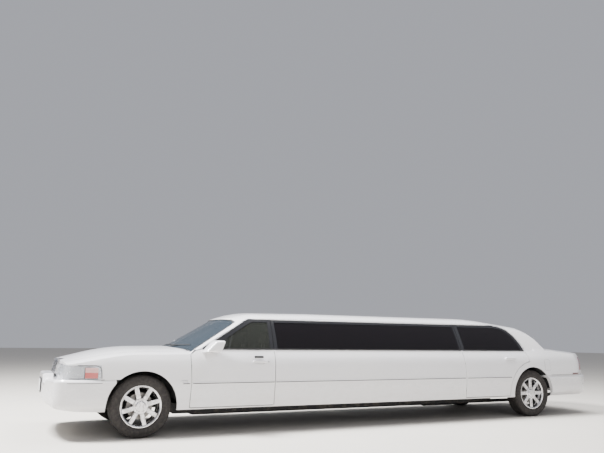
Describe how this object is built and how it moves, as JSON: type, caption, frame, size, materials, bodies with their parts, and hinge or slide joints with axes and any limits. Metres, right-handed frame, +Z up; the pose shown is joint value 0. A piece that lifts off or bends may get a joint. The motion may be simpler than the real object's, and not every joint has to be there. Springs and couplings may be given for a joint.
{
  "type": "stretch limousine",
  "caption": "Long white stretch limousine saloon with a hood, a long dark-glazed cabin, a rear deck, chrome spoked wheels and opening doors, hood and trunk lid.",
  "frame": {"origin": "on the ground, midway along the car and on its centre plane", "axes": "+X towards the rear, +Y towards the car's right side, +Z up"},
  "size_m": [8.52, 2.2046, 1.4988],
  "materials": {
    "white_paint": "glossy",
    "underbody": "matte",
    "frame_steel": "satin",
    "grille_chrome": "polished",
    "wheel_chrome": "polished",
    "lamp_silver": "polished",
    "clear_lens": "glossy",
    "red_lens": "glossy",
    "tinted_glass": "glossy",
    "dark_glass": "glossy",
    "black_plastic": "matte",
    "engine_iron": "matte",
    "black_leather": "satin",
    "tyre_rubber": "matte"
  },
  "bodies": {
    "root": {"floor_pan": "underbody", "chassis_frame": "frame_steel", "roof": "white_paint", "cowl": "white_paint", "grille": "grille_chrome", "headlamps": "lamp_silver", "front_bumper": "white_paint", "rear_bumper": "white_paint", "parcel_shelf": "white_paint", "tail_lamps": "red_lens", "windshield": "tinted_glass", "rear_window": "dark_glass", "side_windows": "dark_glass", "wheel_liners": "black_plastic", "radiator_support": "frame_steel", "front_suspension": "frame_steel", "rear_axle": "frame_steel", "engine": "engine_iron", "headlamp_lenses": "clear_lens", "partition": "black_leather", "side_bench": "black_leather", "drive_shaft": "frame_steel", "exhaust": "engine_iron", "fuel_tank": "black_plastic", "front_seats": "black_leather", "rear_seat": "black_leather", "dashboard": "black_plastic", "steering_wheel": "black_plastic", "front_fender_left": "white_paint", "front_fender_right": "white_paint", "quarter_left": "white_paint", "quarter_right": "white_paint", "side_panel_left": "white_paint", "side_panel_right": "white_paint"},
    "steer_left": {"knuckle_left": "frame_steel"},
    "steer_right": {"knuckle_right": "frame_steel"},
    "wheel_front_left": {"rim_front_left": "wheel_chrome", "tyre_front_left": "tyre_rubber"},
    "wheel_front_right": {"rim_front_right": "wheel_chrome", "tyre_front_right": "tyre_rubber"},
    "wheel_rear_left": {"rim_rear_left": "wheel_chrome", "tyre_rear_left": "tyre_rubber"},
    "wheel_rear_right": {"rim_rear_right": "wheel_chrome", "tyre_rear_right": "tyre_rubber"},
    "front_door_left": {"door_front_left": "white_paint", "glass_front_left": "tinted_glass", "mirror_left": "white_paint"},
    "rear_door_left": {"door_rear_left": "white_paint", "glass_rear_left": "dark_glass"},
    "front_door_right": {"door_front_right": "white_paint", "glass_front_right": "tinted_glass", "mirror_right": "white_paint"},
    "rear_door_right": {"door_rear_right": "white_paint", "glass_rear_right": "dark_glass"},
    "hood": {"hood": "white_paint"},
    "trunk": {"trunk_lid": "white_paint"}
  },
  "joints": [
    {"name": "steer_left", "type": "hinge", "parent": "root", "child": "steer_left", "pos_m": [-3.215, -0.765, 0.351], "axis": [0, 0, 1], "range_deg": [-32, 32]},
    {"name": "steer_right", "type": "hinge", "parent": "root", "child": "steer_right", "pos_m": [-3.215, 0.765, 0.351], "axis": [0, 0, 1], "range_deg": [-32, 32]},
    {"name": "roll_front_left", "type": "hinge", "parent": "steer_left", "child": "wheel_front_left", "pos_m": [-3.215, -0.8, 0.351], "axis": [0, 1, 0], "continuous": true},
    {"name": "roll_rear_left", "type": "hinge", "parent": "root", "child": "wheel_rear_left", "pos_m": [2.823, -0.825, 0.351], "axis": [0, 1, 0], "continuous": true},
    {"name": "open_front_door_left", "type": "hinge", "parent": "root", "child": "front_door_left", "pos_m": [-2.618, -0.95, 0.615], "axis": [0, 0, -1], "range_deg": [0, 65]},
    {"name": "open_rear_door_left", "type": "hinge", "parent": "root", "child": "rear_door_left", "pos_m": [1.523, -0.95, 0.615], "axis": [0, 0, -1], "range_deg": [0, 65]},
    {"name": "roll_front_right", "type": "hinge", "parent": "steer_right", "child": "wheel_front_right", "pos_m": [-3.215, 0.8, 0.351], "axis": [0, 1, 0], "continuous": true},
    {"name": "roll_rear_right", "type": "hinge", "parent": "root", "child": "wheel_rear_right", "pos_m": [2.823, 0.825, 0.351], "axis": [0, 1, 0], "continuous": true},
    {"name": "open_front_door_right", "type": "hinge", "parent": "root", "child": "front_door_right", "pos_m": [-2.618, 0.95, 0.615], "axis": [0, 0, 1], "range_deg": [0, 65]},
    {"name": "open_rear_door_right", "type": "hinge", "parent": "root", "child": "rear_door_right", "pos_m": [1.523, 0.95, 0.615], "axis": [0, 0, 1], "range_deg": [0, 65]},
    {"name": "open_hood", "type": "hinge", "parent": "root", "child": "hood", "pos_m": [-2.672, 0, 0.973], "axis": [0, 1, 0], "range_deg": [0, 50]},
    {"name": "open_trunk", "type": "hinge", "parent": "root", "child": "trunk", "pos_m": [3.5, 0, 1.047], "axis": [0, -1, 0], "range_deg": [0, 75]}
  ],
  "couplings": [
    {"joint": "steer_right", "follows": "steer_left", "ratio": 1}
  ]
}
